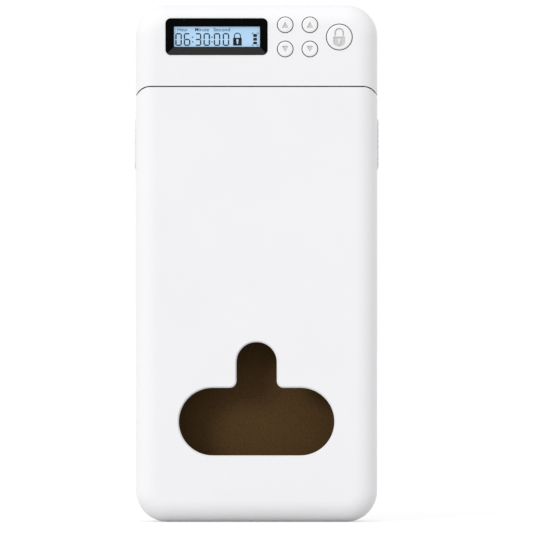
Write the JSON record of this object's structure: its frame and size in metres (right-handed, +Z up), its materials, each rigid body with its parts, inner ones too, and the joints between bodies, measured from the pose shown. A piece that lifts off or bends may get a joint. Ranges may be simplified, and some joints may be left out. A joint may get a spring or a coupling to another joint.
{
  "type": "timed lock container",
  "caption": "Phone-size lock box: a white container with a T-shaped window under a lift-off cap that holds a countdown timer and motor-driven bolts.",
  "frame": {"origin": "bottom centre of the object's box, on the flat of the container's base", "axes": "+Z up from the base to the cap, the direction the cap lifts; -Y is the front, with the display, buttons and window; +X is to the right in front view"},
  "size_m": [0.094, 0.0256, 0.199],
  "materials": {
    "shell_white": "fine satin moulded ABS",
    "cap_white": "fine satin moulded ABS",
    "grip_grey": "soft-touch grip strip",
    "sleeve_dark": "dark brown moulded plastic",
    "foam_brown": "brushed foam pad",
    "steel_plate": "brushed steel",
    "screw_steel": "zinc-plated screws",
    "bezel_black": "gloss black",
    "lens_clear": "clear acrylic",
    "lcd_blue": "pale blue LCD",
    "backlight_white": "light guide",
    "zebra_pink": "elastomer contact strip",
    "board_green": "solder-masked board",
    "chip_black": "moulded package",
    "connector_ivory": "connector housing",
    "cell_silver": "foil pouch",
    "tape_white": "double-sided foam tape",
    "lead_red": "insulated wire",
    "lead_blue": "insulated wire",
    "latch_grey": "moulded acetal",
    "gear_brass": "cut brass",
    "bush_bronze": "sintered bronze",
    "metal_can": "nickel-plated can",
    "button_white": "white moulded cap",
    "plunger_black": "moulded plunger"
  },
  "bodies": {
    "container": {"front_shell": "shell_white", "rear_shell": "shell_white", "inner_sleeve": "sleeve_dark", "grip_left": "grip_grey", "grip_right": "grip_grey", "back_pad": "foam_brown", "base_cushion": "foam_brown", "striker_left": "steel_plate", "striker_right": "steel_plate", "striker_screws": "screw_steel"},
    "cap": {"cap_front_shell": "cap_white", "cap_rear_shell": "cap_white", "cap_base_plate": "latch_grey", "base_plate_screws": "screw_steel", "display_bezel": "bezel_black", "display_lens": "lens_clear", "lcd_panel": "lcd_blue", "backlight": "backlight_white", "contact_strip": "zebra_pink", "main_board": "board_green", "board_screws": "screw_steel", "switch_bodies": "metal_can", "controller_chip": "chip_black", "crystal": "metal_can", "buzzer": "chip_black", "closure_sensor": "chip_black", "charging_socket": "metal_can", "lead_connectors": "connector_ivory", "battery_cell": "cell_silver", "battery_tape": "tape_white", "battery_leads": "lead_red", "latch_bridge": "latch_grey", "bridge_screws": "screw_steel", "gearbox": "metal_can", "gearbox_screws": "screw_steel", "motor": "metal_can", "motor_leads": "lead_blue", "shaft_bush": "bush_bronze"},
    "bolt_left": {"bolt_left": "steel_plate"},
    "bolt_right": {"bolt_right": "steel_plate"},
    "pinion": {"pinion": "gear_brass", "output_shaft": "steel_plate"},
    "hour_up_button": {"hour_up_button": "button_white", "hour_up_plunger": "plunger_black"},
    "hour_down_button": {"hour_down_button": "button_white", "hour_down_plunger": "plunger_black"},
    "minute_up_button": {"minute_up_button": "button_white", "minute_up_plunger": "plunger_black"},
    "minute_down_button": {"minute_down_button": "button_white", "minute_down_plunger": "plunger_black"},
    "lock_button": {"lock_button": "button_white", "lock_plunger": "plunger_black"}
  },
  "joints": [
    {"name": "cap_lift", "type": "slide", "parent": "container", "child": "cap", "axis": [0, 0, 1], "range_m": [0, 0.04]},
    {"name": "bolt_right_slide", "type": "slide", "parent": "cap", "child": "bolt_right", "axis": [1, 0, 0], "range_m": [0, 0.004]},
    {"name": "bolt_left_slide", "type": "slide", "parent": "cap", "child": "bolt_left", "axis": [-1, 0, 0], "range_m": [0, 0.004]},
    {"name": "pinion_spin", "type": "hinge", "parent": "cap", "child": "pinion", "pos_m": [0, 0.0003, 0.178], "axis": [0, 0, 1], "range_deg": [0, 76.4]},
    {"name": "hour_up_press", "type": "slide", "parent": "cap", "child": "hour_up_button", "axis": [0, 1, 0], "range_m": [0, 0.0005], "stiffness_N_per_m": 400, "springref_m": -0.001},
    {"name": "hour_down_press", "type": "slide", "parent": "cap", "child": "hour_down_button", "axis": [0, 1, 0], "range_m": [0, 0.0005], "stiffness_N_per_m": 400, "springref_m": -0.001},
    {"name": "minute_up_press", "type": "slide", "parent": "cap", "child": "minute_up_button", "axis": [0, 1, 0], "range_m": [0, 0.0005], "stiffness_N_per_m": 400, "springref_m": -0.001},
    {"name": "minute_down_press", "type": "slide", "parent": "cap", "child": "minute_down_button", "axis": [0, 1, 0], "range_m": [0, 0.0005], "stiffness_N_per_m": 400, "springref_m": -0.001},
    {"name": "lock_press", "type": "slide", "parent": "cap", "child": "lock_button", "axis": [0, 1, 0], "range_m": [0, 0.0005], "stiffness_N_per_m": 400, "springref_m": -0.001}
  ],
  "couplings": [
    {"joint": "pinion_spin", "follows": "bolt_right_slide", "rad_per_m": 333.33},
    {"joint": "bolt_left_slide", "follows": "bolt_right_slide", "ratio": 1}
  ]
}
